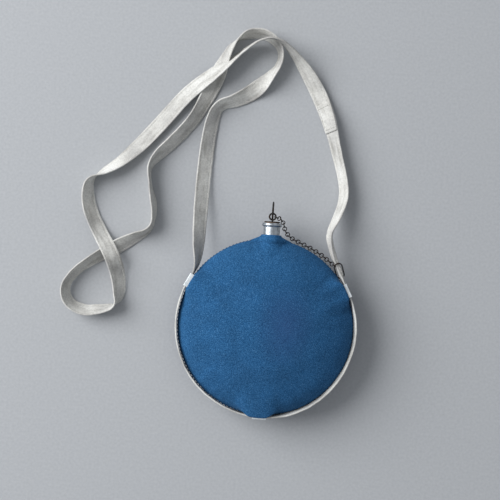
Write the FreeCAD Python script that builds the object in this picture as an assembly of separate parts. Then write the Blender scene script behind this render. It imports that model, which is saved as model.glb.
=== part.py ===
import FreeCAD, Part

import math
import os
from FreeCAD import Placement, Rotation, Vector

# A round soldered tin canteen in a cloth cover, with a corked neck, a chained stopper and a strap.
# It lies on its back: +Z is up and the neck points along +Y.
# The origin is the middle of the flat patch that it rests on.

# Body: two dished tin shells, joined at the rim
MID_Z = 33.2  # height of the rim seam above the floor
RIM_R = 97.5  # outer radius of the tin at the rim
DISH_H = 31.3  # height of one dish above the rim seam
CROWN_R = 200.0  # radius of the dish's broad crown
SHOULDER_R = 40.0  # radius of its shoulder
TIN = 0.6
SEAM_HALF = 0.4  # half the height of the soldered rim seam
SEAM_OUT = 0.5  # how far the solder stands proud of the tin

# Cloth cover
CLOTH_GAP = 0.3
CLOTH = 2.4
COLLAR_TOP = 106.2  # y of the collar's upper edge, on the neck

# Neck and stopper, along +Y
NECK_R = 9.4
BORE_R = 7.8
NECK_TOP = 118.5
NECK_FOOT = 94.0
LIP_R = 11.4
LIP_H = 3.6
FLANGE_R = 13.0
FLANGE_TOP = 102.5
CORK_TOP = 119.2
CORK_FOOT = 97.5
CORK_TOP_R = 7.5
CORK_FOOT_R = 6.8
CAP_R = 9.0
CAP_T = 1.2
FOOT_WASHER_R = 5.0
FOOT_WASHER_T = 1.0
PIN_R = 1.0
PIN_KNOB_R = 2.0
PIN_KNOB_H = 1.3
EYE_Y = 126.0
EYE_R = 3.6  # radius of the eye's wire centre line

# Pull ring, hung on the outer side of the eye
PULL_R = 9.5
PULL_WIRE_R = 0.95
PULL_GAP = 0.25
PULL_DROP_DEG = 62.0  # how far the ring hangs below the neck's axis

# Chain of figure-eight wire links
LINKS = 12
LINK_WIRE_R = 0.55
LOOP_R = 2.25
LINK_PITCH = 7.715
LINK_SLACK = 0.4
TWIST_R = 0.85
CHAIN_ROUTE = (
    (2.87, 126.23, 32.48),
    (9.2, 124.4, 38.0),
    (12.4, 118.6, 40.9),
    (13.6, 112.4, 40.0),
    (16.8, 107.2, 37.4),
    (23.4, 103.0, 35.2),
    (35.6, 98.0, 33.9),
    (49.0, 92.0, 33.9),
    (61.5, 84.4, 35.2),
    (68.2, 79.2, 36.6),
    (74.0, 74.8, 37.6),
)

# Wire end ring, round the strap
RING_WIRE_R = 0.75
RING_END_R = 4.45
RING_STRAIGHT = 11.5
RING_TILT_DEG = 32.0
RING_CENTRE = (80.06, 69.66, MID_Z)
RING_TURN_DEG = 112.5

# Strap and its brackets
STRAP_W = 19.0
STRAP_T = 2.0
STRAP_IN_R = 101.0
STRAP_TAB = 9.0
STRAP_TUBE_R = 2.5
BRACKET_SPREAD_DEG = 62.0  # angle of the upper brackets from the neck
BRACKET_W = 16.0
BRACKET_T = 0.8
BRACKET_GAP = 0.3
LEG_Z = 10.6  # inner face of a bracket's legs, from the rim seam
SLOT_GAP = 0.3

# The free strap from the left bracket round its loops to the right bracket; it crosses itself three times.
STRAP_ROUTE = (
    (-86.1, 56.0, 33.2),
    (-82.2, 64.2, 33.2),
    (-82.6, 86.0, 30.0),
    (-83.4, 119.0, 20.0),
    (-83.4, 162.0, 9.0),
    (-81.4, 206.0, 5.0),
    (-77.5, 238.0, 5.5),
    (-70.5, 253.5, 7.0),
    (-52.0, 259.0, 6.0),
    (-31.0, 272.0, 5.0),
    (-14.0, 290.0, 5.0),
    (-3.0, 306.0, 6.5),
    (-2.6, 322.0, 8.0),
    (-10.0, 335.0, 9.0),
    (-25.0, 343.5, 9.0),
    (-44.0, 340.5, 8.5),
    (-59.5, 326.5, 6.5),
    (-68.0, 308.0, 4.0),
    (-74.5, 289.5, 3.6),
    (-84.0, 261.0, 4.0),
    (-99.0, 233.0, 5.0),
    (-121.0, 206.5, 6.0),
    (-139.5, 188.0, 8.5),
    (-147.6, 175.0, 9.5),
    (-145.0, 155.0, 9.5),
    (-139.0, 134.0, 9.5),
    (-137.2, 116.0, 9.5),
    (-141.5, 101.0, 9.0),
    (-159.0, 91.5, 6.0),
    (-181.0, 79.5, 3.4),
    (-204.0, 67.0, 4.0),
    (-225.0, 50.5, 5.0),
    (-237.0, 29.5, 6.0),
    (-232.5, 8.5, 6.0),
    (-213.0, -1.0, 5.0),
    (-192.0, 2.5, 4.5),
    (-175.0, 9.0, 5.0),
    (-171.5, 24.0, 6.5),
    (-174.5, 46.0, 9.5),
    (-179.5, 63.0, 13.2),
    (-187.0, 77.0, 13.2),
    (-199.0, 94.0, 9.0),
    (-212.0, 117.0, 6.0),
    (-217.8, 140.0, 7.5),
    (-215.5, 157.0, 9.0),
    (-202.0, 168.0, 9.0),
    (-184.0, 180.5, 7.0),
    (-160.0, 203.0, 5.5),
    (-133.0, 233.0, 5.0),
    (-108.0, 262.0, 6.5),
    (-86.0, 281.5, 12.6),
    (-71.0, 295.0, 13.0),
    (-54.0, 310.5, 10.0),
    (-37.0, 325.5, 9.5),
    (-20.0, 331.8, 14.5),
    (-5.0, 329.0, 18.4),
    (6.0, 322.5, 16.0),
    (19.0, 313.5, 9.0),
    (36.0, 294.0, 6.0),
    (51.0, 270.0, 5.0),
    (61.0, 241.0, 5.0),
    (68.5, 210.5, 6.5),
    (78.5, 179.5, 8.0),
    (82.6, 155.0, 10.5),
    (75.5, 132.0, 17.0),
    (67.6, 117.0, 26.5),
    (65.0, 105.6, 33.0),
    (75.7, 80.8, 33.2),
    (86.1, 56.0, 33.2),
)


def save(name, shape):
    """Write one closed piece under its own name."""
    shape = shape.removeSplitter() if shape.ShapeType != "Solid" else shape
    if len(shape.Solids) == 1:
        shape = shape.Solids[0]
    shape.exportStep(f"parts/{name}.step")
    print(f"{name}: {shape.Volume:.1f} mm3, solids {len(shape.Solids)}, valid {shape.isValid()}")


def dish_angles():
    """Slopes where the dish's crown meets its shoulder, and at the rim."""
    rise = CROWN_R - DISH_H + SEAM_HALF
    reach = math.hypot(RIM_R, rise)
    inner, outer = CROWN_R - SHOULDER_R, SHOULDER_R
    bend = math.acos((reach**2 - inner**2 - outer**2) / (2 * inner * outer))
    lead = math.atan2(outer * math.sin(bend), inner + outer * math.cos(bend))
    crown = math.atan2(RIM_R, rise) - lead
    return crown, crown + bend


def dish_curve(offset):
    """Half section of a dish, moved out by an offset: the edges, and the first and last points."""
    crown, rim = dish_angles()
    crown_mid = Vector(0, 0, DISH_H - CROWN_R)
    along = Vector(math.sin(crown), 0, math.cos(crown))
    shoulder_mid = crown_mid + along * (CROWN_R - SHOULDER_R)

    def point(middle, radius, angle):
        return middle + Vector(math.sin(angle), 0, math.cos(angle)) * (radius + offset)

    top = point(crown_mid, CROWN_R, 0)
    join = point(crown_mid, CROWN_R, crown)
    end = point(shoulder_mid, SHOULDER_R, rim)
    crown_edge = Part.Arc(top, point(crown_mid, CROWN_R, crown / 2), join).toShape()
    shoulder_edge = Part.Arc(join, point(shoulder_mid, SHOULDER_R, (crown + rim) / 2), end).toShape()
    return [crown_edge, shoulder_edge], top, end


def line(a, b):
    return Part.LineSegment(a, b).toShape()


def spun(edges, axis=Vector(0, 0, 1)):
    """Solid of revolution of a closed outline."""
    face = Part.Face(Part.Wire(Part.sortEdges(edges)[0]))
    return face.revolve(Vector(0, 0, 0), axis, 360)


def upper_shell(inner, outer, foot_in, foot_out):
    """One dished half between two offsets, closed down to its rim by its foot points."""
    inside, in_top, in_end = dish_curve(inner)
    outside, out_top, out_end = dish_curve(outer)
    edges = inside + outside + [line(in_top, out_top)]
    corners = [in_end, foot_in, foot_out, out_end]
    corners = [c for i, c in enumerate(corners) if i == 0 or (c - corners[i - 1]).Length > 1e-6]
    edges += [line(a, b) for a, b in zip(corners, corners[1:])]
    return spun(edges)


def envelope(offset, rim_r):
    """Everything inside the body's outer skin, moved out by an offset."""
    curve, top, end = dish_curve(offset)
    foot = Vector(rim_r, 0, 0)
    half = spun(curve + [line(end, foot), line(foot, Vector(0, 0, 0)), line(Vector(0, 0, 0), top)])
    return half.fuse(half.mirror(Vector(0, 0, 0), Vector(0, 0, 1))).removeSplitter()


def up(shape):
    """Move a shape made about the rim seam's centre to its height above the floor."""
    shape = shape.copy()
    shape.translate(Vector(0, 0, MID_Z))
    return shape


def turned(points):
    """Solid turned about the neck's axis, from (distance along the axis, radius) points."""
    corners = [Vector(radius, y, 0) for y, radius in points]
    return spun([line(a, b) for a, b in zip(corners, corners[1:] + corners[:1])], Vector(0, 1, 0))


def disc(y, height, radius, hole=0.0):
    """Round plate across the neck's axis."""
    plate = Part.makeCylinder(radius, height, Vector(0, y, 0), Vector(0, 1, 0))
    if hole:
        plate = plate.cut(Part.makeCylinder(hole, height, Vector(0, y, 0), Vector(0, 1, 0)))
    return plate


def block(x0, x1, y0, y1, z0, z1):
    return Part.makeBox(x1 - x0, y1 - y0, z1 - z0, Vector(x0, y0, z0))


def make_neck(skin):
    """Neck tube with its rolled lip, and the flange that is soldered over the rim."""
    lip_foot = NECK_TOP - LIP_H
    tube = turned(
        (
            (NECK_FOOT, BORE_R),
            (NECK_FOOT, NECK_R),
            (lip_foot - 0.8, NECK_R),
            (lip_foot, LIP_R - 0.9),
            (lip_foot + 0.9, LIP_R),
            (NECK_TOP - 0.9, LIP_R),
            (NECK_TOP, LIP_R - 0.9),
            (NECK_TOP, BORE_R + 0.5),
            (NECK_TOP - 0.5, BORE_R),
        )
    )
    flange = turned(((NECK_FOOT, BORE_R + 0.6), (NECK_FOOT, FLANGE_R), (98.5, FLANGE_R), (FLANGE_TOP, NECK_R)))
    return tube.fuse(flange.cut(skin)).removeSplitter()


def neck_space(gap):
    """What the neck and its flange fill, with room round them."""
    pipe = disc(NECK_FOOT - 4, COLLAR_TOP - NECK_FOOT + 10, NECK_R + gap)
    cone = turned(
        (
            (80, 0),
            (80, FLANGE_R + gap),
            (98.5 + gap, FLANGE_R + gap),
            (FLANGE_TOP + gap, NECK_R + gap),
            (104, 0),
        )
    )
    return pipe.fuse(cone).removeSplitter()


def make_bracket(skin):
    """Tin staple over the strap, at the rim, made about +X."""
    outer_in = STRAP_IN_R + STRAP_T + BRACKET_GAP
    outer = outer_in + BRACKET_T
    half = BRACKET_W / 2
    top = LEG_Z + BRACKET_T
    staple = block(85, outer, -half, half, -top, top).cut(block(80, outer_in, -half, half, -LEG_Z, LEG_Z))
    corners = [e for e in staple.Edges if e.BoundBox.XMin > outer - 0.01 and e.BoundBox.YLength > 1]
    return staple.makeFillet(0.6, corners).cut(skin)


def bracket_slots():
    """Openings in the cover for a bracket's two legs, made about +X."""
    half = BRACKET_W / 2 + SLOT_GAP
    low, high = LEG_Z - SLOT_GAP, LEG_Z + BRACKET_T + SLOT_GAP
    return block(80, 106, -half, half, low, high).fuse(block(80, 106, -half, half, -high, -low))


def at_bracket(shape, degrees):
    shape = shape.copy()
    shape.rotate(Vector(0, 0, 0), Vector(0, 0, 1), degrees)
    return shape


def make_rim_strap():
    """The strap where it runs through the brackets, standing on edge round the rim."""
    first, last = 90 + BRACKET_SPREAD_DEG, 450 - BRACKET_SPREAD_DEG
    half, strap_out = STRAP_W / 2, STRAP_IN_R + STRAP_T
    corners = [Vector(STRAP_IN_R, 0, -half), Vector(strap_out, 0, -half)]
    corners += [Vector(strap_out, 0, half), Vector(STRAP_IN_R, 0, half)]
    section = Part.Face(Part.makePolygon(corners + corners[:1]))
    band = section.revolve(Vector(0, 0, 0), Vector(0, 0, 1), last - first)
    band.rotate(Vector(0, 0, 0), Vector(0, 0, 1), first)
    tab = block(STRAP_IN_R, strap_out, 0, STRAP_TAB, -half, half)
    start = tab.copy()
    start.translate(Vector(0, -STRAP_TAB, 0))
    return band.fuse([at_bracket(tab, last), at_bracket(start, first)]).removeSplitter()


def figure_eight(start, end):
    """Chain link between two pivots: an upright loop, a twist, and a flat loop."""
    along = (end - start).normalize()
    side = along.cross(Vector(0, 0, 1)).normalize()
    inset = LOOP_R - LINK_WIRE_R - LINK_SLACK / 2
    upright = Part.makeTorus(LOOP_R, LINK_WIRE_R, start + along * inset, side)
    flat = Part.makeTorus(LOOP_R, LINK_WIRE_R, end - along * inset, along.cross(side))
    twist = Part.makeSphere(TWIST_R, (start + end) * 0.5)
    return upright.fuse([flat, twist])


def chain_pivots():
    """Pivots one pitch apart along the chain's route."""
    route = [Vector(*p) for p in CHAIN_ROUTE]
    pivots = [route[0]]
    leg = 0
    while len(pivots) <= LINKS:
        here = pivots[-1]
        while (route[leg + 1] - here).Length < LINK_PITCH:
            leg += 1
        near, far = 0.0, 1.0
        for _ in range(60):
            middle = (near + far) / 2
            point = route[leg] + (route[leg + 1] - route[leg]) * middle
            if (point - here).Length < LINK_PITCH:
                near = middle
            else:
                far = middle
        pivots.append(point)
    return pivots


def make_end_ring():
    """Long oval wire ring, made flat along +X and then tilted round the strap."""
    half = RING_STRAIGHT / 2
    tip = half + RING_END_R
    corners = [Vector(half, -RING_END_R, 0), Vector(half, RING_END_R, 0)]
    corners += [Vector(-half, RING_END_R, 0), Vector(-half, -RING_END_R, 0)]
    path = Part.Wire(
        [
            Part.Arc(corners[0], Vector(tip, 0, 0), corners[1]).toShape(),
            line(corners[1], corners[2]),
            Part.Arc(corners[2], Vector(-tip, 0, 0), corners[3]).toShape(),
            line(corners[3], corners[0]),
        ]
    )
    section = Part.Wire(Part.makeCircle(RING_WIRE_R, corners[0], Vector(1, 0, 0)))
    ring = path.makePipeShell([section], True, True)
    tilt = Rotation(Vector(0, 1, 0), -RING_TILT_DEG)
    turn = Rotation(Vector(0, 0, 1), RING_TURN_DEG)
    ring.Placement = Placement(Vector(*RING_CENTRE), turn.multiply(tilt))
    return ring


def route_wire(points):
    """Straight runs joined by tangent arcs, and the arcs' radii."""
    edges, radii = [], []
    here = points[0]
    for before, corner, after in zip(points, points[1:], points[2:]):
        back, ahead = before - corner, after - corner
        reach = 0.45 * min(back.Length, ahead.Length)
        half_turn = (math.pi - back.getAngle(ahead)) / 2
        radii.append(reach / math.tan(half_turn))
        start = corner + back.normalize() * reach
        end = corner + ahead.normalize() * reach
        inward = (back + ahead).normalize()
        middle = corner + inward * (radii[-1] / math.cos(half_turn) - radii[-1])
        edges += [line(here, start), Part.Arc(start, middle, end).toShape()]
        here = end
    edges.append(line(here, points[-1]))
    return Part.Wire(edges), radii


def make_free_strap():
    points = [Vector(*p) for p in STRAP_ROUTE]
    path, radii = route_wire(points)
    circle = Part.makeCircle(STRAP_TUBE_R, points[0], points[1] - points[0])
    tube = path.makePipeShell([Part.Wire(circle)], True, False)
    ideal = math.pi * STRAP_TUBE_R**2 * path.Length
    print("free strap length", round(path.Length, 1), "volume ratio", round(tube.Volume / ideal, 4))
    print("arc radii", [round(r) for r in radii], "smallest", round(min(radii), 1))
    return tube


def main():
    os.makedirs("parts", exist_ok=True)
    skin = envelope(0.0, RIM_R + SEAM_OUT)
    neck_hole = disc(NECK_FOOT - 30, 60, NECK_R)

    # Tin body
    rim_end = dish_curve(0.0)[2]
    rim_in = dish_curve(-TIN)[2]
    front = upper_shell(-TIN, 0.0, rim_in, rim_end).cut(neck_hole)
    back = front.mirror(Vector(0, 0, 0), Vector(0, 0, 1))
    save("front_shell", up(front))
    save("back_shell", up(back))
    seam = Part.makeCylinder(RIM_R + SEAM_OUT, 2 * SEAM_HALF, Vector(0, 0, -SEAM_HALF))
    seam = seam.cut(Part.makeCylinder(RIM_R - 1.2, 2 * SEAM_HALF, Vector(0, 0, -SEAM_HALF)))
    neck = make_neck(skin)
    save("rim_solder", up(seam.cut([neck_hole, front, back, neck])))
    save("neck", up(neck))

    # Cloth cover, in two halves, each with half of the collar
    cloth_out = dish_curve(CLOTH_GAP + CLOTH)[2]
    rim_room = RIM_R + SEAM_OUT + 0.15
    foot_in = Vector(rim_room, 0, 0)
    foot_out = Vector(cloth_out.x + 0.3, 0, 0)
    cover = upper_shell(CLOTH_GAP, CLOTH_GAP + CLOTH, foot_in, foot_out)
    collar = turned(((95, 0), (95, 17.5), (100.4, 15.4), (103.8, 12.2), (COLLAR_TOP, 11.6), (COLLAR_TOP, 0)))
    collar = collar.cut(envelope(CLOTH_GAP, rim_room))
    collar = collar.common(block(-20, 20, 80, 120, 0, 20))
    cover = cover.fuse(collar).cut([neck_space(CLOTH_GAP), Part.makeCylinder(rim_room, 0.6)])
    bracket = make_bracket(skin)
    slots = bracket_slots()
    angles = {
        "left": 90 + BRACKET_SPREAD_DEG,
        "right": 90 - BRACKET_SPREAD_DEG,
        "bottom": 270,
    }
    for degrees in angles.values():
        cover = cover.cut(at_bracket(slots, degrees))
    save("cover_front", up(cover))
    floor_cut = Part.makeCylinder(60, 20, Vector(0, 0, -20))
    save("cover_back", up(cover.mirror(Vector(0, 0, 0), Vector(0, 0, 1))).cut(floor_cut))
    for side, degrees in angles.items():
        save(f"strap_bracket_{side}", up(at_bracket(bracket, degrees)))

    # Stopper
    cork = turned(((CORK_FOOT, PIN_R), (CORK_FOOT, CORK_FOOT_R), (CORK_TOP, CORK_TOP_R), (CORK_TOP, PIN_R)))
    save("cork", up(cork))
    save("cap_washer", up(disc(CORK_TOP, CAP_T, CAP_R, PIN_R)))
    save("foot_washer", up(disc(CORK_FOOT - FOOT_WASHER_T, FOOT_WASHER_T, FOOT_WASHER_R, PIN_R)))
    pin_foot = CORK_FOOT - FOOT_WASHER_T
    pin = disc(pin_foot - PIN_KNOB_H, PIN_KNOB_H, PIN_KNOB_R)
    rod = disc(pin_foot - 0.5, EYE_Y - EYE_R - pin_foot + 0.5, PIN_R)
    eye = Part.makeTorus(EYE_R, PIN_R, Vector(0, EYE_Y, 0), Vector(0, 0, 1))
    pin = pin.fuse([rod, eye])
    save("stopper_pin", up(pin))
    drop = math.radians(PULL_DROP_DEG)
    reach = PULL_R - PIN_R - PULL_WIRE_R - PULL_GAP
    hub = Vector(0, EYE_Y + EYE_R + reach * math.cos(drop), -reach * math.sin(drop))
    save("pull_ring", up(Part.makeTorus(PULL_R, PULL_WIRE_R, hub, Vector(1, 0, 0))))

    # Chain, its last plain ring, and the end ring round the strap
    pivots = chain_pivots()
    for i, (start, end) in enumerate(zip(pivots, pivots[1:])):
        save(f"chain_link_{i + 1:02d}", figure_eight(start, end))
    hook = Vector(*CHAIN_ROUTE[-1])
    along = (hook - pivots[-1]).normalize()
    print("chain pivots", [[round(c, 2) for c in p] for p in pivots], "left", end=" ")
    print(round((hook - pivots[-1]).Length, 3))
    centre = pivots[-1] + along * (LOOP_R - LINK_WIRE_R)
    save("chain_last_ring", Part.makeTorus(LOOP_R, LINK_WIRE_R, centre, along.cross(Vector(0, 0, 1))))
    save("chain_end_ring", make_end_ring())

    # Strap
    save("strap_rim", up(make_rim_strap()))
    save("strap_free", make_free_strap())


main()
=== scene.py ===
import math

import bmesh
import bpy
import numpy as np
from mathutils import Matrix, Vector, noise


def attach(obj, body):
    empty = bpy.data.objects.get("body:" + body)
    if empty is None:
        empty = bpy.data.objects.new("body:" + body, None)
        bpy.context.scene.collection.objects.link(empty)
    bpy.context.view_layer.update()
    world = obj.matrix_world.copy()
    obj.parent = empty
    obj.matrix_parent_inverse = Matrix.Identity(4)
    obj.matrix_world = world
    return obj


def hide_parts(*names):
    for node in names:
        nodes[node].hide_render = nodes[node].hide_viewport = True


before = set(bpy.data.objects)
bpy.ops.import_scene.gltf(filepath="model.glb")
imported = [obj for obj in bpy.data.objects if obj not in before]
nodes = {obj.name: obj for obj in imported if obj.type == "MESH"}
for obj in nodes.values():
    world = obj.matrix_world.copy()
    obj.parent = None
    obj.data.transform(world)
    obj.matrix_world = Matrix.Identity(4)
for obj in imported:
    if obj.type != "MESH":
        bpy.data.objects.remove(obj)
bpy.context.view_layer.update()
scene = bpy.context.scene
bpy.ops.object.select_all(action="DESELECT")


# ---------------------------------------------------------------- Camera
# It looks straight down from 1.1 m, over a point a little above and to the left of
# the canteen's middle, and is turned a few degrees.
CAMERA_AT = (-0.0232, 0.0863, 1.1)
CAMERA_TURN = math.radians(4)
CAMERA_LENS = 67.3

bpy.ops.object.camera_add(location=CAMERA_AT, rotation=(0, 0, CAMERA_TURN))
camera = bpy.context.object
camera.name = "camera"
camera.data.sensor_width = 36
camera.data.lens = CAMERA_LENS
scene.camera = camera


# ---------------------------------------------------------------- Tin body
# Two dished shells of dull tinplate, soldered together at the rim, and three tin
# staples soldered over the strap. They keep their CAD shapes, and only the staples
# show outside the cloth.
TIN_BRIGHT = (0.66, 0.66, 0.64)
TIN_DULL = (0.40, 0.40, 0.39)
STAPLE_PALE = (0.80, 0.84, 0.86)
STAPLE_GREY = (0.56, 0.60, 0.62)
SOLDER_GREY = (0.38, 0.38, 0.38)
SOLDER_PALE = (0.58, 0.58, 0.57)


def new_finish(name, colour, roughness, metal=0.0):
    """A material with its plain values, and its node tree and shader."""
    finish = bpy.data.materials.new(name)
    finish.use_nodes = True
    shader = finish.node_tree.nodes["Principled BSDF"]
    shader.inputs["Base Color"].default_value = (*colour, 1)
    shader.inputs["Roughness"].default_value = roughness
    shader.inputs["Metallic"].default_value = metal
    return finish, finish.node_tree, shader


def add_node(tree, kind, inputs=None, **settings):
    """A shader node with its settings, and its inputs set or linked."""
    node = tree.nodes.new("ShaderNode" + kind)
    for name, value in settings.items():
        setattr(node, name, value)
    for name, value in (inputs or {}).items():
        if isinstance(value, bpy.types.NodeSocket):
            tree.links.new(value, node.inputs[name])
        else:
            node.inputs[name].default_value = value
    return node


def place_of(tree, source="Object", stretch=(1, 1, 1), turn=(0, 0, 0)):
    """Where a point is on the piece, stretched along its axes."""
    here = add_node(tree, "TexCoord").outputs[source]
    inputs = {"Vector": here, "Scale": stretch, "Rotation": turn}
    return add_node(tree, "Mapping", inputs).outputs["Vector"]


def grain(tree, place, size, detail=3.0):
    """Soft random grain of a size in metres."""
    inputs = {"Vector": place, "Scale": 1 / size, "Detail": detail}
    return add_node(tree, "TexNoise", inputs).outputs[0]


def tones(tree, factor, *stops):
    """Colours along a factor, as (place, colour) pairs in order."""
    ramp = add_node(tree, "ValToRGB", {"Fac": factor})
    band = ramp.color_ramp.elements
    for element, (place, colour) in zip((band[0], band[1]), (stops[0], stops[-1])):
        element.position = place
        element.color = (*colour, 1)
    for place, colour in stops[1:-1]:
        band.new(place).color = (*colour, 1)
    return ramp.outputs["Color"]


def mix(tree, factor, first, second, way="MIX"):
    """Two colours mixed by a factor; each is a socket or a plain value."""
    inputs = {0: factor, 6: first, 7: second}
    return add_node(tree, "Mix", inputs, data_type="RGBA", blend_type=way).outputs[2]


def raise_by(tree, shader, height, depth, strength=1.0):
    """Fine relief on a shader, of a depth in metres."""
    inputs = {"Height": height, "Distance": depth, "Strength": strength}
    bump = add_node(tree, "Bump", inputs)
    tree.links.new(bump.outputs["Normal"], shader.inputs["Normal"])


def dress(finish, *names):
    """Give CAD nodes a finish."""
    for name in names:
        for slot in nodes[name].material_slots:
            slot.material = finish


def mottled_metal(name, pale, dull, roughness, spot, metal=0.9, stretch=(1, 1, 1)):
    """Worn metal, mottled between two tones, with a fine uneven skin."""
    finish, tree, shader = new_finish(name, pale, roughness, metal)
    place = place_of(tree, stretch=stretch)
    spots = grain(tree, place, spot, 6.0)
    colour = tones(tree, spots, (0.34, dull), (0.62, pale))
    tree.links.new(colour, shader.inputs["Base Color"])
    low, high = (max(0.05, roughness - 0.08),) * 3, (min(1, roughness + 0.14),) * 3
    rough = tones(tree, grain(tree, place, spot / 4), (0.3, low), (0.7, high))
    tree.links.new(rough, shader.inputs["Roughness"])
    raise_by(tree, shader, grain(tree, place, spot / 5, 4.0), 0.0003, 0.5)
    return finish


tin = mottled_metal("tin_dull", TIN_BRIGHT, TIN_DULL, 0.36, 0.008)
solder = mottled_metal("solder_grey", SOLDER_PALE, SOLDER_GREY, 0.5, 0.004)
brackets = ("strap_bracket_left", "strap_bracket_right", "strap_bracket_bottom")
dress(tin, "front_shell", "back_shell")
dress(solder, "rim_solder")
staple_tin = mottled_metal("tin_pale", STAPLE_PALE, STAPLE_GREY, 0.42, 0.006, 0.4)
dress(staple_tin, *brackets)


# ---------------------------------------------------------------- Neck
# A cast pewter tube with a rolled lip, soldered into the rim. It is filed along
# its length, so that it has fine lines from lip to foot, and grey with age.
PEWTER_PALE = (0.70, 0.76, 0.82)
PEWTER_DARK = (0.32, 0.35, 0.38)

pewter, tree, shader = new_finish("pewter_worn", PEWTER_PALE, 0.34, 1.0)
stains = grain(tree, place_of(tree), 0.007, 5.0)
files = grain(tree, place_of(tree, stretch=(1, 0.05, 1)), 0.0005, 3.0)
colour = tones(tree, stains, (0.32, PEWTER_DARK), (0.6, PEWTER_PALE))
lines = tones(tree, files, (0.3, (0.62,) * 3), (0.62, (1.0,) * 3))
tree.links.new(mix(tree, 1.0, colour, lines, "MULTIPLY"), shader.inputs["Base Color"])
rough = tones(tree, stains, (0.3, (0.5,) * 3), (0.65, (0.28,) * 3))
tree.links.new(rough, shader.inputs["Roughness"])
raise_by(tree, shader, files, 0.0002, 0.6)
dress(pewter, "neck")


# ---------------------------------------------------------------- Cloth cover
# Two discs of blue napped wool, sewn together round the rim over the tin. They are
# eased over the staples' legs, and arch over the foot of the neck.
RIM_HEIGHT = 0.0332
CROWN_R = 0.200  # of the tin under it
SHOULDER_R = 0.040
DISH_H = 0.0313
RIM_R = 0.0975
SEAM_HALF = 0.0004
CLOTH_OUT = 0.0026  # its outer face, above the tin
CLOTH_T = 0.0019
CLOTH_EDGE_R = 0.1002
EDGE_GAP = 0.0001  # half of the gap between the two discs' edges
SPOKES = 400
CROWN_STEPS = 40
SHOULDER_STEPS = 20
EDGE_STEPS = 3
LEAST_HEIGHT = 0.0003  # of any cloth above the floor
PUCKER = 0.0009
LUMP = 0.0005
LEG_TOP = 0.0130
LEG_R = 0.0993
LEG_SOFT = 0.004
STAPLE_HALF = 0.0072
STAPLE_ARC_R = 0.1
# Each staple: its angle, and how far the cloth bulges out past its leg and beside it.
STAPLES = ((28, 0.0012, 0.019), (152, 0.0, 0.018), (269, 0.0030, 0.026))
# The arch over the foot of the neck rises out of the dome from its start onwards.
ARCH_R = 0.0128
ARCH_WIDE = 1.6
ARCH_FALL = 2.5
ARCH_START = 0.060
ARCH_RUN = 0.024
ARCH_SINK = 0.02
ARCH_SOFT = 0.008
# The cloth over a leg: where it leaves the dome, and where it tucks in, (out, height).
TENT_START = (0.064, 0.0235)
TENT_TURN = 0.70
TUCK = (0.1005, 0.0098)
TUCK_TURN = 0.45
WOOL_DARK = (0.005, 0.037, 0.104)
WOOL_BLUE = (0.014, 0.079, 0.196)
WOOL_PALE = (0.036, 0.140, 0.306)
WOOL_FLECK = (0.100, 0.225, 0.400)
WOOL_STAIN = (0.030, 0.060, 0.170)
STAIN_SHIFT = (-0.62, -0.1, 0)
STAIN_SCALE = (28, 20, 0.01)
STAIN_PART = 0.45


def dome_line():
    """The cloth from the middle of a disc to its edge: (distance out, height)."""
    inner = CROWN_R - SHOULDER_R
    rise = CROWN_R - DISH_H + SEAM_HALF
    reach = math.hypot(RIM_R, rise)
    bend = math.acos((reach**2 - inner**2 - SHOULDER_R**2) / (2 * inner * SHOULDER_R))
    lead = math.atan2(SHOULDER_R * math.sin(bend), inner + SHOULDER_R * math.cos(bend))
    crown = math.atan2(RIM_R, rise) - lead
    line = []
    for i in range(1, CROWN_STEPS + 1):
        angle = crown * i / CROWN_STEPS
        radius = CROWN_R + CLOTH_OUT
        up = DISH_H - CROWN_R + radius * math.cos(angle)
        line.append((radius * math.sin(angle), up))
    for i in range(1, SHOULDER_STEPS + 1):
        angle = crown + bend * i / SHOULDER_STEPS
        radius = SHOULDER_R + CLOTH_OUT
        out = inner * math.sin(crown) + radius * math.sin(angle)
        up = DISH_H - CROWN_R + inner * math.cos(crown) + radius * math.cos(angle)
        line.append((out, up))
    last_out, last_up = line[-1]
    for i in range(1, EDGE_STEPS + 1):
        out = last_out + (CLOTH_EDGE_R - last_out) * i / EDGE_STEPS
        line.append((out, last_up * (1 - i / EDGE_STEPS) + EDGE_GAP))
    return line


def eased(value):
    """0 below 0, 1 above 1, and smooth between."""
    value = min(1.0, max(0.0, value))
    return value * value * (3 - 2 * value)


def smooth_max(a, b, soft):
    """The larger of two heights, rounded where they meet."""
    near = max(soft - abs(a - b), 0) / soft
    return max(a, b) + near * near * soft / 4


def over_leg(out, up, tented, beyond):
    """Where the cloth goes as it is drawn over a staple's leg, and out beyond it."""
    if out <= TENT_START[0]:
        return out, up
    start_out, start_up = TENT_START
    leg_r = LEG_R + beyond
    along = (out - start_out) / (CLOTH_EDGE_R - start_out)
    part = (along - TENT_TURN) / (1 - TENT_TURN)
    if part < 0:
        part = along / TENT_TURN
        tent_out = start_out + (leg_r - start_out) * part
        tent_up = start_up + (LEG_TOP - start_up) * part
        tent_up = smooth_max(up, tent_up, LEG_SOFT * eased(part / 0.4) + 0.00001)
    elif part < TUCK_TURN:
        part /= TUCK_TURN
        tent_out = leg_r + (TUCK[0] - leg_r) * part**2
        tent_up = LEG_TOP + (TUCK[1] - LEG_TOP) * part
    else:
        part = (part - TUCK_TURN) / (1 - TUCK_TURN)
        tent_out = TUCK[0] + (CLOTH_EDGE_R - TUCK[0]) * part
        tent_up = TUCK[1] * (1 - part)
    return out + (tent_out - out) * tented, up + (max(up, tent_up) - up) * tented


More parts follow.
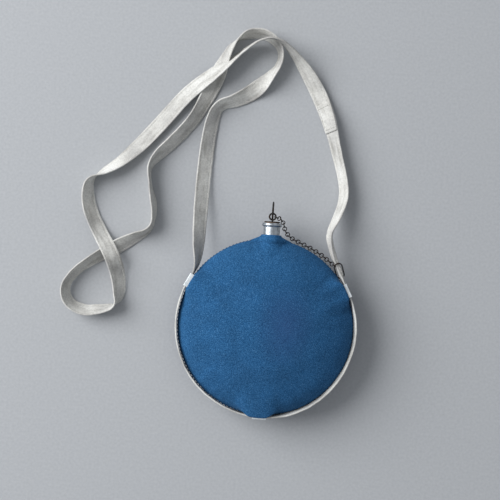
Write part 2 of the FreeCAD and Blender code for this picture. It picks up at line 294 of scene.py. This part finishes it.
def cloth_point(angle, out, up, side):
    """A point of the cover, from its spoke and its place on the dome."""
    for staple, beyond, spread in STAPLES:
        off = abs((math.degrees(angle) - staple + 180) % 360 - 180)
        tented = 1 - eased((math.radians(off) * STAPLE_ARC_R - STAPLE_HALF) / spread)
        if tented > 0:
            out, up = over_leg(out, up, tented, beyond)
    x, y = out * math.cos(angle), out * math.sin(angle)
    # It puckers near the rim, and is softly uneven all over but at the rim.
    near_rim = eased((out - 0.06) / 0.035) * (1 - eased((out - 0.098) / 0.002))
    pucker = noise.noise(Vector((math.cos(angle) * 9, math.sin(angle) * 9, 4.0 + side)))
    lump = noise.noise(Vector((x * 28, y * 28, 7.0 * side)))
    up += PUCKER * pucker * near_rim + LUMP * lump * (1 - eased((out - 0.09) / 0.008))
    beside = abs(x) / ARCH_R
    if y > ARCH_START and beside < ARCH_WIDE:
        curve = math.sqrt(1 - beside * beside) if beside < 1 else ARCH_FALL * (1 - beside)
        sunk = ARCH_SINK * (1 - eased((y - ARCH_START) / ARCH_RUN))
        up = smooth_max(up, ARCH_R * curve - sunk, ARCH_SOFT)
    return x, y, max(RIM_HEIGHT + side * up, LEAST_HEIGHT)


def new_piece(name, shell):
    """A mesh made in code, as an object in the scene."""
    mesh = bpy.data.meshes.new(name)
    shell.to_mesh(mesh)
    shell.free()
    piece = bpy.data.objects.new(name, mesh)
    scene.collection.objects.link(piece)
    return piece


def cover_half(name, side):
    """One disc of the cover, over the front or under the back."""
    shell = bmesh.new()
    top = shell.verts.new((0, 0, cloth_point(0, 0, DISH_H + CLOTH_OUT, side)[2]))
    spokes = [2 * math.pi * i / SPOKES for i in range(SPOKES)]
    rings = []
    for out, up in dome_line():
        rings.append([shell.verts.new(cloth_point(a, out, up, side)) for a in spokes])
    for i in range(SPOKES):
        j = (i + 1) % SPOKES
        shell.faces.new((top, rings[0][i], rings[0][j]))
        for inner, outer in zip(rings, rings[1:]):
            shell.faces.new((inner[i], outer[i], outer[j], inner[j]))
    if side < 0:
        bmesh.ops.reverse_faces(shell, faces=shell.faces[:])
    half = new_piece(name, shell)
    thicken(half, CLOTH_T)
    return half


def thicken(piece, thickness):
    """Give a cloth surface its thickness, inwards, and shade it smooth."""
    bpy.ops.object.select_all(action="DESELECT")
    piece.select_set(True)
    bpy.context.view_layer.objects.active = piece
    wall = piece.modifiers.new("thickness", "SOLIDIFY")
    wall.thickness = thickness
    wall.offset = -1
    wall.use_even_offset = False
    bpy.ops.object.modifier_apply(modifier=wall.name)
    bpy.ops.object.shade_smooth_by_angle(angle=math.radians(60))


wool, tree, shader = new_finish("wool_blue", WOOL_BLUE, 0.95)
place = place_of(tree)
nap = grain(tree, place, 0.0009, 4.0)
heather = tones(
    tree, nap, (0.30, WOOL_DARK), (0.47, WOOL_BLUE), (0.62, WOOL_PALE), (0.74, WOOL_FLECK)
)
wear = tones(tree, grain(tree, place, 0.03, 5.0), (0.3, (0.86,) * 3), (0.7, (1.12,) * 3))
worn = mix(tree, 1.0, heather, wear, "MULTIPLY")
here = add_node(tree, "TexCoord").outputs["Object"]
spot_inputs = {"Vector": here, "Location": STAIN_SHIFT, "Scale": STAIN_SCALE}
spot_map = {"Vector": add_node(tree, "Mapping", spot_inputs).outputs["Vector"]}
spot = add_node(tree, "TexGradient", spot_map, gradient_type="SPHERICAL").outputs[0]
fading = {0: spot, 1: STAIN_PART}
spot_part = add_node(tree, "Math", fading, operation="MULTIPLY").outputs[0]
tree.links.new(mix(tree, spot_part, worn, (*WOOL_STAIN, 1)), shader.inputs["Base Color"])
shader.inputs["Specular IOR Level"].default_value = 0.15
shader.inputs["Sheen Weight"].default_value = 0.15
shader.inputs["Sheen Roughness"].default_value = 0.4
shader.inputs["Sheen Tint"].default_value = (0.25, 0.55, 0.95, 1)
raise_by(tree, shader, grain(tree, place, 0.0009, 5.0), 0.0007, 0.7)

for name, side in (("cover_cloth_front", 1), ("cover_cloth_back", -1)):
    half = cover_half(name, side)
    half.data.materials.append(wool)
    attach(half, "canteen")
    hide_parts("cover_front" if side > 0 else "cover_back")


# ---------------------------------------------------------------- Collar
# A strip of the same wool round the neck, sewn to the cover's two arches. It covers
# the flange, spreads on to the rim at the sides, and draws in towards the tube.
COLLAR_STEPS = 96
# The strip from its foot to its mouth: (place along the neck, radius).
COLLAR_LINE = (
    (0.0936, 0.0122),
    (0.0956, 0.0134),
    (0.0972, 0.0141),
    (0.0986, 0.0145),
    (0.0998, 0.0143),
    (0.1008, 0.0137),
    (0.1017, 0.0130),
    (0.1026, 0.0124),
    (0.1034, 0.0120),
    (0.1040, 0.0118),
    (0.1045, 0.0117),
    (0.1049, 0.0115),
    (0.1051, 0.0111),
)
FLARE_TOP = 0.1040
FLARE_RUN = 0.0055
FLARE_OUT = 0.0080
COLLAR_WAVE = 0.0003
COLLAR_T = 0.0014

shell = bmesh.new()
rings = []
for y, radius in COLLAR_LINE:
    ring = []
    spread = (max(0.0, FLARE_TOP - y) / FLARE_RUN) ** 1.4
    for i in range(COLLAR_STEPS):
        angle = 2 * math.pi * i / COLLAR_STEPS
        beside = abs(math.cos(angle)) ** 4 * spread
        at = Vector((math.cos(angle) * 3, math.sin(angle) * 3, y * 150))
        soft = COLLAR_WAVE * noise.noise(at)
        x = (radius + soft + FLARE_OUT * beside) * math.cos(angle)
        z = (radius + soft) * math.sin(angle) * max(0.2, 1 - 0.5 * beside)
        ring.append(shell.verts.new((x, y, RIM_HEIGHT + z)))
    rings.append(ring)
for lower, upper in zip(rings, rings[1:]):
    for i in range(COLLAR_STEPS):
        j = (i + 1) % COLLAR_STEPS
        shell.faces.new((lower[i], upper[i], upper[j], lower[j]))
collar = new_piece("cover_collar", shell)
thicken(collar, COLLAR_T)
collar.data.materials.append(wool)
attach(collar, "canteen")


# ---------------------------------------------------------------- Cover seam
# Blue thread oversews the two discs' edges round the rim. It shows between the
# upper staples and the neck, where no strap lies over it.
SEAM_STITCHES = 150
SEAM_GAP = 0.016  # to each side of the neck
SEAM_SLANT = 0.45
SEAM_THREAD_R = 0.00042
THREAD_BLUE = (0.020, 0.070, 0.170)


def make_stitch(name, length, radius, bow):
    """One stitch of thread along X, bowed up in the middle, as a new object."""
    bpy.ops.object.select_all(action="DESELECT")
    bpy.ops.mesh.primitive_cylinder_add(
        vertices=6,
        radius=radius,
        depth=length,
        end_fill_type="TRIFAN",
        rotation=(0, math.pi / 2, 0),
    )
    stitch = bpy.context.object
    stitch.name = name
    bpy.ops.object.transform_apply(rotation=True)
    bpy.ops.object.mode_set(mode="EDIT")
    bpy.ops.mesh.select_all(action="SELECT")
    bpy.ops.mesh.bisect(plane_co=(-length / 5, 0, 0), plane_no=(1, 0, 0))
    bpy.ops.mesh.select_all(action="SELECT")
    bpy.ops.mesh.bisect(plane_co=(length / 5, 0, 0), plane_no=(1, 0, 0))
    bpy.ops.object.mode_set(mode="OBJECT")
    for vertex in stitch.data.vertices:
        share = 1 - (2 * vertex.co.x / length) ** 2
        vertex.co.z += bow * share
    return stitch


def place_stitches(name, stitch, places):
    """Copies of a stitch at each place, as one object; the pattern is removed."""
    points = np.array([v.co[:] for v in stitch.data.vertices])
    faces = [tuple(p.vertices) for p in stitch.data.polygons]
    all_points, all_faces = [], []
    for at, along, up in places:
        side = up.cross(along).normalized()
        frame_of = np.array([along.normalized(), side, up.normalized()])
        first = len(all_points) * len(points)
        all_points.append(points @ frame_of + np.array(at))
        all_faces += [tuple(v + first for v in face) for face in faces]
    mesh = bpy.data.meshes.new(name)
    mesh.from_pydata(np.concatenate(all_points).tolist(), [], all_faces)
    mesh.update()
    bpy.data.objects.remove(stitch)
    rows = bpy.data.objects.new(name, mesh)
    scene.collection.objects.link(rows)
    for face in rows.data.polygons:
        face.use_smooth = True
    return rows


def thread_finish(name, colour):
    """Twisted thread."""
    finish, tree, shader = new_finish(name, colour, 0.85)
    place = place_of(tree)
    dim = tuple(c * 0.6 for c in colour)
    shade = tones(tree, grain(tree, place, 0.0009, 3.0), (0.3, dim), (0.6, colour))
    tree.links.new(shade, shader.inputs["Base Color"])
    raise_by(tree, shader, grain(tree, place, 0.0004), 0.0002)
    return finish


blue_thread = thread_finish("thread_blue", THREAD_BLUE)
places = []
for i in range(SEAM_STITCHES):
    angle = 2 * math.pi * i / SEAM_STITCHES
    out = Vector((math.cos(angle), math.sin(angle), 0))
    if abs(out.x) * CLOTH_EDGE_R < SEAM_GAP and out.y > 0:
        continue
    slant = Vector((-math.sin(angle), math.cos(angle), 0)) * SEAM_SLANT
    at = out * (CLOTH_EDGE_R - 0.0002) + Vector((0, 0, RIM_HEIGHT))
    places.append((at, Vector((0, 0, 1)) + slant, out))
stitch = make_stitch("stitch", 0.0036, SEAM_THREAD_R, 0.0004)
seam = place_stitches("cover_seam", stitch, places)
seam.data.materials.append(blue_thread)
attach(seam, "canteen")


# ---------------------------------------------------------------- Stopper
# A cork on an iron pin, between an iron washer on top and a small one underneath.
# The pin ends in an eye for the pull ring and the chain.
CORK_BROWN = (0.42, 0.25, 0.13)
CORK_PIT = (0.16, 0.085, 0.045)
IRON_DARK = (0.012, 0.011, 0.011)
IRON_WORN = (0.060, 0.056, 0.055)
RUST = (0.050, 0.025, 0.015)

cork, tree, shader = new_finish("cork_raw", CORK_BROWN, 0.9)
place = place_of(tree)
pits = add_node(tree, "TexVoronoi", {"Vector": place, "Scale": 900.0}).outputs["Distance"]
grains = grain(tree, place, 0.002, 5.0)
colour = tones(tree, grains, (0.35, CORK_PIT), (0.5, CORK_BROWN), (0.75, (0.55, 0.36, 0.2)))
holes = tones(tree, pits, (0.1, (0.45,) * 3), (0.3, (1.0,) * 3))
tree.links.new(mix(tree, 1.0, colour, holes, "MULTIPLY"), shader.inputs["Base Color"])
raise_by(tree, shader, pits, 0.0003, 0.6)
dress(cork, "cork")


def iron_finish(name, metal, rusted):
    """Dark iron with brown rust in its hollows."""
    finish, tree, shader = new_finish(name, IRON_DARK, 0.5, metal)
    place = place_of(tree)
    skin = tones(tree, grain(tree, place, 0.003, 5.0), (0.35, IRON_DARK), (0.7, IRON_WORN))
    spread = grain(tree, place, 0.0045, 6.0)
    part = tones(tree, spread, (0.62 - rusted, (0.0,) * 3), (0.78 - rusted, (1.0,) * 3))
    tree.links.new(mix(tree, part, skin, (*RUST, 1)), shader.inputs["Base Color"])
    rough = tones(tree, spread, (0.4, (0.38,) * 3), (0.7 - rusted, (0.8,) * 3))
    tree.links.new(rough, shader.inputs["Roughness"])
    raise_by(tree, shader, grain(tree, place, 0.0008, 4.0), 0.0002, 0.6)
    return finish


iron_wire = iron_finish("iron_wire", 0.75, 0.08)
iron_plate = iron_finish("iron_plate", 0.6, 0.16)
dress(iron_plate, "cap_washer", "foot_washer")
dress(iron_wire, "stopper_pin", "pull_ring")


# ---------------------------------------------------------------- Chain
# Twelve figure-eight links of iron wire between the stopper's eye and the strap.
# Each is one wire bent into two loops, across each other, and wrapped at its waist.
LINKS = 12
LINK_WIRE_R = 0.00055
LOOP_R = 0.00225
LOOP_AT = 0.0023575
WRAP_R = 0.00062
WRAP_WIRE_R = 0.00038

bpy.ops.object.select_all(action="DESELECT")
bpy.ops.mesh.primitive_torus_add(
    location=(-LOOP_AT, 0, 0),
    rotation=(math.pi / 2, 0, 0),
    major_radius=LOOP_R,
    minor_radius=LINK_WIRE_R,
    major_segments=28,
    minor_segments=10,
)
link = bpy.context.object
loops = [link]
bpy.ops.mesh.primitive_torus_add(
    location=(LOOP_AT, 0, 0),
    major_radius=LOOP_R,
    minor_radius=LINK_WIRE_R,
    major_segments=28,
    minor_segments=10,
)
loops.append(bpy.context.object)
for x in (-0.0007, 0.0, 0.0007):
    bpy.ops.mesh.primitive_torus_add(
        location=(x, 0, 0),
        rotation=(0, math.pi / 2, 0.28),
        major_radius=WRAP_R,
        minor_radius=WRAP_WIRE_R,
        major_segments=14,
        minor_segments=8,
    )
    loops.append(bpy.context.object)
bpy.ops.object.select_all(action="DESELECT")
for loop in loops:
    loop.select_set(True)
bpy.context.view_layer.objects.active = link
bpy.ops.object.join()
bpy.ops.object.transform_apply(location=True, rotation=True)
bpy.ops.object.shade_smooth_by_angle(angle=math.radians(60))

# A link lies along the longest direction of its CAD node.
link_points = []
for i in range(LINKS):
    vertices = nodes[f"chain_link_{i + 1:02d}"].data.vertices
    link_points.append(np.array([v.co[:] for v in vertices]))
middles = [(points.max(axis=0) + points.min(axis=0)) / 2 for points in link_points]
for i, (middle, points) in enumerate(zip(middles, link_points)):
    axis = np.linalg.svd(points - points.mean(axis=0), full_matrices=False)[2][0]
    ahead = middles[i + 1] - middle if i < LINKS - 1 else middle - middles[i - 1]
    along = Vector(axis if axis @ ahead > 0 else -axis).normalized()
    side = along.cross(Vector((0, 0, 1))).normalized()
    piece = link.copy()
    piece.data = link.data.copy()
    piece.name = f"wire_link_{i + 1:02d}"
    scene.collection.objects.link(piece)
    turn = Matrix((along, side, along.cross(side))).transposed().to_4x4()
    spread = (points - middle) @ np.array(along)
    centre = Vector(middle) + along * float((spread.max() + spread.min()) / 2)
    piece.data.transform(Matrix.Translation(centre) @ turn)
    piece.data.materials.append(iron_wire)
    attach(piece, "chain")
    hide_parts(f"chain_link_{i + 1:02d}")
bpy.data.objects.remove(link)
dress(iron_wire, "chain_last_ring", "chain_end_ring")


# ---------------------------------------------------------------- Strap round the rim
# A band of cream cotton webbing, 19 mm wide, with both edges folded in and sewn. It
# stands on edge round the rim, held by the three staples.
STRAP_HALF = 0.0095
BUNCH_WAVE = 0.0023
CUP = 0.0015
CREASE = 0.00042
EDGE_SEAM = 0.00665  # where the folded edges are sewn down, from the middle
THREAD_R = 0.00022
STITCH_UP = 0.00075
RIM_PITCH = 0.0042
STAPLE_ANGLES = (152, 270, 388)
STRAP_ROUND_R = 0.1020
TAB = 0.0095
COTTON_CREAM = (0.74, 0.735, 0.70)
COTTON_WHITE = (0.83, 0.83, 0.80)
COTTON_GREY = (0.52, 0.515, 0.50)
COTTON_SOIL = (0.42, 0.405, 0.385)
THREAD_CREAM = (0.76, 0.75, 0.70)

# The band across: (place from the middle, half thickness), edge to edge.
STRAP_ACROSS = (
    (-0.00935, 0.00050),
    (-0.00880, 0.00092),
    (-0.00800, 0.00100),
    (-0.00710, 0.00092),
    (-0.00665, 0.00060),
    (-0.00620, 0.00078),
    (-0.00480, 0.00080),
    (-0.00320, 0.00080),
    (-0.00160, 0.00080),
    (0.00000, 0.00080),
    (0.00160, 0.00080),
    (0.00320, 0.00080),
    (0.00480, 0.00080),
    (0.00620, 0.00078),
    (0.00665, 0.00060),
    (0.00710, 0.00092),
    (0.00800, 0.00100),
    (0.00880, 0.00092),
    (0.00935, 0.00050),
)


class Band:
    """A strap laid along a line: its points, and its leans and bunching in degrees."""

    def __init__(self, points, leans, bunches, seed):
        self.points = [Vector(p) for p in points]
        self.leans = leans
        self.bunches = bunches
        self.seed = seed
        self.along = [0.0]
        for a, b in zip(self.points, self.points[1:]):
            self.along.append(self.along[-1] + (b - a).length)

    def axes(self, i):
        """Directions along the band, across it, and out of its face."""
        last = len(self.points) - 1
        ahead = (self.points[min(i + 1, last)] - self.points[max(i - 1, 0)]).normalized()
        side = Vector((ahead.y, -ahead.x, 0)).normalized()
        rise = side.cross(ahead)
        lean = math.radians(self.leans[i])
        across = side * math.cos(lean) + rise * math.sin(lean)
        face = rise * math.cos(lean) - side * math.sin(lean)
        return ahead, across, face

    def at(self, i, across, out):
        """The point of the band at a place across it and a distance out of its middle."""
        bunch = math.radians(self.bunches[i])
        s = self.along[i]
        wave = BUNCH_WAVE * math.sin(bunch) * math.cos(2 * math.pi * across / STRAP_HALF)
        cup = noise.noise(Vector((s * 17, self.seed, 0))) * CUP
        cup *= (1 - (across / STRAP_HALF) ** 2) * math.cos(bunch)
        crease = noise.noise(Vector((s * 110, across * 90, self.seed + 5))) * CREASE
        _, wide, face = self.axes(i)
        return (
            self.points[i]
            + wide * across * math.cos(bunch)
            + face * (out + wave + cup + crease)
        )


def band_mesh(name, band, first, last, across, low, high):
    """A closed length of webbing, from one point of a band's line to another.

    across holds (place, half thickness); low and high move its two faces out.
    """
    shell = bmesh.new()
    layer = shell.loops.layers.uv.new("weave")
    end_v = across[-1][0] + 0.00015 if low == 0 and high == 0 else across[-1][0]
    section = [(v, h + high) for v, h in across] + [(end_v, (low + high) / 2)]
    section += [(v, -h + low) for v, h in reversed(across)] + [(-end_v, (low + high) / 2)]
    rows = []
    for i in range(first, last + 1):
        rows.append([shell.verts.new(band.at(i, v, h)) for v, h in section])
    count = len(section)
    for i, (a, b) in enumerate(zip(rows, rows[1:])):
        for k in range(count):
            m = (k + 1) % count
            face = shell.faces.new((a[k], a[m], b[m], b[k]))
            face.smooth = True
            ends = ((i, k), (i, m), (i + 1, m), (i + 1, k))
            for loop, (row, col) in zip(face.loops, ends):
                loop[layer].uv = (band.along[first + row], section[col][0])
    for row in (rows[0], rows[-1]):
        face = shell.faces.new(row)
        for loop, (v, h) in zip(face.loops, section):
            loop[layer].uv = (band.along[first] + h, v)
    bmesh.ops.recalc_face_normals(shell, faces=shell.faces[:])
    return new_piece(name, shell)


def edge_rows(band, first, last, pitch, rows, faces):
    """Where stitches go along a band: rows across it, on its faces (1 or -1)."""
    places = []
    step = band.along[first] + pitch / 2
    for i in range(first, last):
        if band.along[i + 1] < step:
            continue
        step += pitch
        for v in rows:
            for sign in faces:
                ahead, _, face = band.axes(i)
                places.append((band.at(i, v, sign * STITCH_UP), ahead, face * sign))
    return places


cotton, tree, shader = new_finish("cotton_webbing", COTTON_CREAM, 0.92)
weave_place = add_node(tree, "TexCoord").outputs["UV"]
weft = add_node(
    tree, "TexWave", {"Vector": weave_place, "Scale": 290.0}, wave_profile="SIN"
).outputs["Fac"]
warp = add_node(
    tree,
    "TexWave",
    {"Vector": weave_place, "Scale": 330.0},
    bands_direction="Y",
    wave_profile="SIN",
).outputs["Fac"]
weave = add_node(tree, "Math", {0: weft, 1: warp}, operation="MULTIPLY").outputs[0]
place = place_of(tree)
along_place = place_of(tree, "UV", stretch=(0.22, 1, 1))
streaks = grain(tree, along_place, 0.007, 6.0)
blots = grain(tree, place, 0.045, 6.0)
slubs = grain(tree, place, 0.0018, 4.0)
base = tones(
    tree, blots, (0.36, COTTON_GREY), (0.54, COTTON_CREAM), (0.66, COTTON_WHITE)
)
soil = tones(tree, streaks, (0.28, COTTON_SOIL), (0.52, (1.0,) * 3))
soiled = mix(tree, 0.62, base, soil, "MULTIPLY")
speck = tones(tree, slubs, (0.30, (0.72,) * 3), (0.60, (1.0,) * 3))
specked = mix(tree, 0.8, soiled, speck, "MULTIPLY")
pores = tones(tree, weave, (0.0, (0.80,) * 3), (0.5, (1.0,) * 3))
tree.links.new(mix(tree, 0.7, specked, pores, "MULTIPLY"), shader.inputs["Base Color"])
shader.inputs["Sheen Weight"].default_value = 0.1
height = add_node(tree, "Math", {0: weave, 1: slubs}, operation="ADD").outputs[0]
raise_by(tree, shader, height, 0.0003, 0.7)
cream_thread = thread_finish("thread_cream", THREAD_CREAM)

first_angle, last_angle = STAPLE_ANGLES[0], STAPLE_ANGLES[-1]
points, leans = [], []


def round_rim(degrees, extra=0.0):
    """A point of the strap's middle line round the rim, run on straight past the end."""
    angle = math.radians(degrees)
    out = Vector((math.cos(angle), math.sin(angle), 0)) * STRAP_ROUND_R
    onward = Vector((-math.sin(angle), math.cos(angle), 0)) * extra
    return out + onward + Vector((0, 0, RIM_HEIGHT))


for i in range(6):
    points.append(round_rim(first_angle, -TAB * (1 - i / 6)))
    leans.append(270)
# Between the staples its upper edge leans in on the left, and out on the right.
for degrees in range(first_angle, last_angle + 1):
    near = min(abs(degrees - staple) for staple in STAPLE_ANGLES)
    slack = eased((near - 4) / 14)
    sway = noise.noise(Vector((degrees * 0.035, 2.0, 0)))
    points.append(round_rim(degrees))
    if degrees < 250:
        outward = 3 * sway - 5
    else:
        outward = 6 + 4 * sway - 11 * (1 - eased((degrees - 262) / 14))
    leans.append(270 - slack * outward)
for i in range(1, 7):
    points.append(round_rim(last_angle, TAB * i / 6))
    leans.append(270)
rim_band = Band(points, leans, [0] * len(points), 3.0)
last = len(points) - 1
rim_strap = band_mesh("rim_strap", rim_band, 0, last, STRAP_ACROSS, 0, 0)
rim_strap.data.materials.append(cotton)
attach(rim_strap, "canteen")
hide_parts("strap_rim")
places = edge_rows(rim_band, 0, last, RIM_PITCH, (-EDGE_SEAM, EDGE_SEAM), (1, -1))
stitch = make_stitch("stitch", 0.0030, THREAD_R, 0.0)
rim_stitches = place_stitches("rim_strap_stitches", stitch, places)
rim_stitches.data.materials.append(cream_thread)
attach(rim_stitches, "canteen")


# ---------------------------------------------------------------- Free strap
# The same webbing, in one loose loop from the left staple to the right. It lies in
# loops on the floor, half on edge, and crosses itself three times. Its ends meet in
# a sewn overlap, and it is bunched where it goes through the chain's wire ring.

# Each row is the middle line's x, y and z, the lean, and the bunching, in degrees.
STRAP_ROUTE = (
    (-0.0861, 0.0560, 0.0332, -90, 0),
    (-0.0822, 0.0642, 0.0332, -80, 0),
    (-0.0826, 0.0860, 0.0290, -50, 0),
    (-0.0834, 0.1190, 0.0180, -34, 0),
    (-0.0834, 0.1620, 0.0064, -28, 0),
    (-0.0814, 0.2060, 0.0058, -30, 0),
    (-0.0775, 0.2380, 0.0068, -38, 0),
    (-0.0705, 0.2535, 0.0088, -60, 0),
    (-0.0520, 0.2590, 0.0075, -45, 0),
    (-0.0310, 0.2720, 0.0030, -10, 0),
    (-0.0140, 0.2900, 0.0084, 52, 0),
    (-0.0030, 0.3060, 0.0094, 72, 0),
    (-0.0026, 0.3220, 0.0096, 75, 0),
    (-0.0115, 0.3330, 0.0092, 67, 0),
    (-0.0255, 0.3400, 0.0091, 62, 0),
    (-0.0430, 0.3380, 0.0092, 63, 0),
    (-0.0595, 0.3265, 0.0094, 112, 0),
    (-0.0680, 0.3080, 0.0084, 128, 0),
    (-0.0745, 0.2895, 0.0028, 172, 0),
    (-0.0858, 0.2605, 0.0062, 214, 0),
    (-0.0990, 0.2330, 0.0078, 228, 0),
    (-0.1210, 0.2065, 0.0076, 226, 0),
    (-0.1395, 0.1880, 0.0085, 238, 0),
    (-0.1476, 0.1750, 0.0096, 265, 0),
    (-0.1450, 0.1550, 0.0097, 270, 0),
    (-0.1390, 0.1340, 0.0095, 252, 0),
    (-0.1372, 0.1160, 0.0097, 265, 0),
    (-0.1415, 0.1010, 0.0097, 262, 0),
    (-0.1590, 0.0915, 0.0076, 230, 0),
    (-0.1810, 0.0780, 0.0052, 205, 0),
    (-0.2025, 0.0648, 0.0086, 235, 0),
    (-0.2245, 0.0485, 0.0092, 245, 0),
    (-0.2370, 0.0295, 0.0095, 247, 0),
    (-0.2315, 0.0105, 0.0089, 240, 0),
    (-0.2125, 0.0020, 0.0083, 232, 0),
    (-0.1920, 0.0055, 0.0082, 235, 0),
    (-0.1755, 0.0100, 0.0097, 262, 0),
    (-0.1715, 0.0240, 0.0082, 310, 0),
    (-0.1745, 0.0460, 0.0080, 325, 0),
    (-0.1795, 0.0630, 0.0175, 337, 0),
    (-0.1870, 0.0770, 0.0170, 336, 0),
    (-0.1990, 0.0940, 0.0076, 325, 0),
    (-0.2120, 0.1170, 0.0065, 325, 0),
    (-0.2178, 0.1400, 0.0082, 310, 0),
    (-0.2155, 0.1570, 0.0096, 285, 0),
    (-0.2005, 0.1658, 0.0090, 240, 0),
    (-0.1820, 0.1776, 0.0076, 224, 0),
    (-0.1590, 0.2010, 0.0043, 197, 0),
    (-0.1330, 0.2330, 0.0038, 195, 0),
    (-0.1095, 0.2635, 0.0055, 198, 0),
    (-0.0868, 0.2823, 0.0120, 205, 0),
    (-0.0710, 0.2950, 0.0160, 225, 0),
    (-0.0540, 0.3105, 0.0125, 252, 0),
    (-0.0370, 0.3255, 0.0145, 256, 0),
    (-0.0200, 0.3318, 0.0250, 256, 0),
    (-0.0050, 0.3290, 0.0290, 266, 0),
    (0.0060, 0.3225, 0.0220, 276, 0),
    (0.0173, 0.3120, 0.0125, 294, 0),
    (0.0334, 0.2920, 0.0070, 326, 0),
    (0.0473, 0.2695, 0.0038, 345, 0),
    (0.0602, 0.2410, 0.0074, 318, 0),
    (0.0685, 0.2105, 0.0089, 301, 0),
    (0.0785, 0.1795, 0.0091, 298, 0),
    (0.0826, 0.1550, 0.0100, 300, 0),
    (0.0755, 0.1320, 0.0170, 293, 0),
    (0.0686, 0.1170, 0.0260, 286, 0),
    (0.0660, 0.1056, 0.0325, 282, 30),
    (0.0747, 0.0808, 0.0332, 276, 60),
    (0.0806, 0.0694, 0.0332, 273, 62),
    (0.0861, 0.0560, 0.0332, 270, 0),
)
FREE_PITCH = 0.0044
LINE_STEPS = 22  # points of the line to each row


def spline_points(rows):
    """The points of a smooth line drawn by its control points."""
    curve = bpy.data.curves.new("line", "CURVE")
    curve.dimensions = "3D"
    line = curve.splines.new("NURBS")
    line.points.add(len(rows) - 1)
    for point, row in zip(line.points, rows):
        point.co = (*row, 1)
    line.order_u = 3
    line.use_endpoint_u = True
    line.resolution_u = LINE_STEPS
    curve.resolution_u = LINE_STEPS
    holder = bpy.data.objects.new("line", curve)
    mesh = bpy.data.meshes.new_from_object(holder)
    found = [v.co.copy() for v in mesh.vertices]
    bpy.data.objects.remove(holder)
    bpy.data.meshes.remove(mesh)
    return found


middle_line = spline_points([row[:3] for row in STRAP_ROUTE])
turns = spline_points([(row[3] / 1000, row[4] / 1000, 0) for row in STRAP_ROUTE])
leans = [t.x * 1000 for t in turns]
bunches = [t.y * 1000 for t in turns]
free_band = Band(middle_line, leans, bunches, 11.0)
last = len(middle_line) - 1
free_strap = band_mesh("free_strap", free_band, 0, last, STRAP_ACROSS, 0, 0)
free_strap.data.materials.append(cotton)
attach(free_strap, "canteen")
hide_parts("strap_free")

places = edge_rows(free_band, 4, last - 4, FREE_PITCH, (-EDGE_SEAM, EDGE_SEAM), (1, -1))
stitch = make_stitch("stitch", 0.0031, THREAD_R, 0.0)
free_stitches = place_stitches("free_strap_stitches", stitch, places)

# The overlap: the strap's other end, sewn down on top.
LAP_AT = Vector((0.0490, 0.2620, 0.004))
LAP_LENGTH = 0.034
LAP_UP = 0.0014
LAP_STITCH_UP = 0.0023
LAP_ROWS = 0.0075  # its stitches, from the middle
LAP_ACROSS = tuple((v * 0.985, h * 0.8) for v, h in STRAP_ACROSS)
start = min(range(last), key=lambda i: (middle_line[i] - LAP_AT).length)
lap_stop = free_band.along[start] + LAP_LENGTH
end = next(i for i in range(start, last) if free_band.along[i] > lap_stop)
lap = band_mesh("strap_overlap", free_band, start, end, LAP_ACROSS, LAP_UP, LAP_UP)
places = []
for i in (start + 3, end - 3):
    for v in np.linspace(-LAP_ROWS, LAP_ROWS, 6):
        _, across, face = free_band.axes(i)
        places.append((free_band.at(i, float(v), LAP_STITCH_UP), across, face))
for i in range(start + 4, end - 3, 3):
    for v in (-LAP_ROWS, LAP_ROWS):
        ahead, _, face = free_band.axes(i)
        places.append((free_band.at(i, v, LAP_STITCH_UP), ahead, face))
stitch = make_stitch("stitch", 0.0024, 0.0003, 0.0001)
lap_stitches = place_stitches("strap_overlap_stitches", stitch, places)
sewn = ((free_stitches, cream_thread), (lap, cotton), (lap_stitches, cream_thread))
for piece, finish in sewn:
    piece.data.materials.append(finish)
    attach(piece, "canteen")


# ---------------------------------------------------------------- Floor and light
# A plain pale floor, a wide soft lamp above it on the left, and pale light all round.
FLOOR_SIZE = 6
FLOOR_GREY = (0.43, 0.445, 0.465)
FLOOR_DIM = (0.385, 0.40, 0.42)
LAMP_AT = Vector((-2.6, 1.1, 2.0))
LAMP_TO = Vector((0, 0.1, 0))
LAMP_SIZE = 3.0
LAMP_POWER = 158
SKY_LIGHT = 0.40

bpy.ops.object.select_all(action="DESELECT")
bpy.ops.mesh.primitive_plane_add(size=FLOOR_SIZE, location=(0, 0, -0.0001))
bpy.ops.object.transform_apply(location=True)
floor = bpy.context.object
floor.name = "floor"
concrete, tree, shader = new_finish("floor_pale", FLOOR_GREY, 0.9)
place = place_of(tree)
tone = tones(tree, grain(tree, place, 0.003, 6.0), (0.3, FLOOR_DIM), (0.7, FLOOR_GREY))
tree.links.new(tone, shader.inputs["Base Color"])
floor.data.materials.append(concrete)

lamp = bpy.data.lights.new("lamp", "AREA")
lamp.shape = "DISK"
lamp.size = LAMP_SIZE
lamp.energy = LAMP_POWER
lamp_holder = bpy.data.objects.new("lamp", lamp)
lamp_holder.location = LAMP_AT
aim = LAMP_TO - LAMP_AT
lamp_holder.rotation_euler = aim.to_track_quat("-Z", "Y").to_euler()
scene.collection.objects.link(lamp_holder)
scene.world = bpy.data.worlds.new("room")
scene.world.use_nodes = True
background = scene.world.node_tree.nodes["Background"]
background.inputs["Color"].default_value = (0.93, 0.96, 1.0, 1)
background.inputs["Strength"].default_value = SKY_LIGHT
scene.view_settings.view_transform = "Standard"
